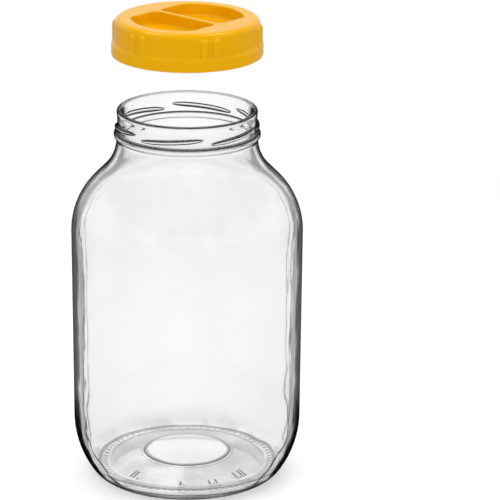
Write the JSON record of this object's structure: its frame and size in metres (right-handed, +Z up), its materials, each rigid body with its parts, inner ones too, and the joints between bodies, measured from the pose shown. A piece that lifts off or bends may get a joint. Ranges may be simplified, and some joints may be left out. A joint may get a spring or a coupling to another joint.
{
  "type": "screw-top glass jar",
  "caption": "Tall clear glass jar with a wide threaded mouth and a yellow plastic screw lid with a grip bar, held above it.",
  "frame": {"origin": "centre of the jar's base on the surface it stands on", "axes": "+Z up along the jar's axis; the front in the picture faces -Y and +X is to its right"},
  "size_m": [0.162, 0.162, 0.332],
  "materials": {
    "clear_glass": "polished clear glass",
    "yellow_plastic": "satin moulded plastic",
    "white_liner": "soft foamed plastic"
  },
  "bodies": {
    "jar": {"glass_jar": "clear_glass"},
    "liner": {"seal_liner": "white_liner"},
    "lid": {"screw_lid": "yellow_plastic"}
  },
  "joints": [
    {"name": "lid_lift", "type": "slide", "parent": "jar", "child": "liner", "axis": [0, 0, 1], "range_m": [-0.05345, 0]},
    {"name": "lid_turn", "type": "hinge", "parent": "liner", "child": "lid", "pos_m": [0, 0, 0.306], "axis": [0, 0, 1], "range_deg": [-30, 0]}
  ]
}
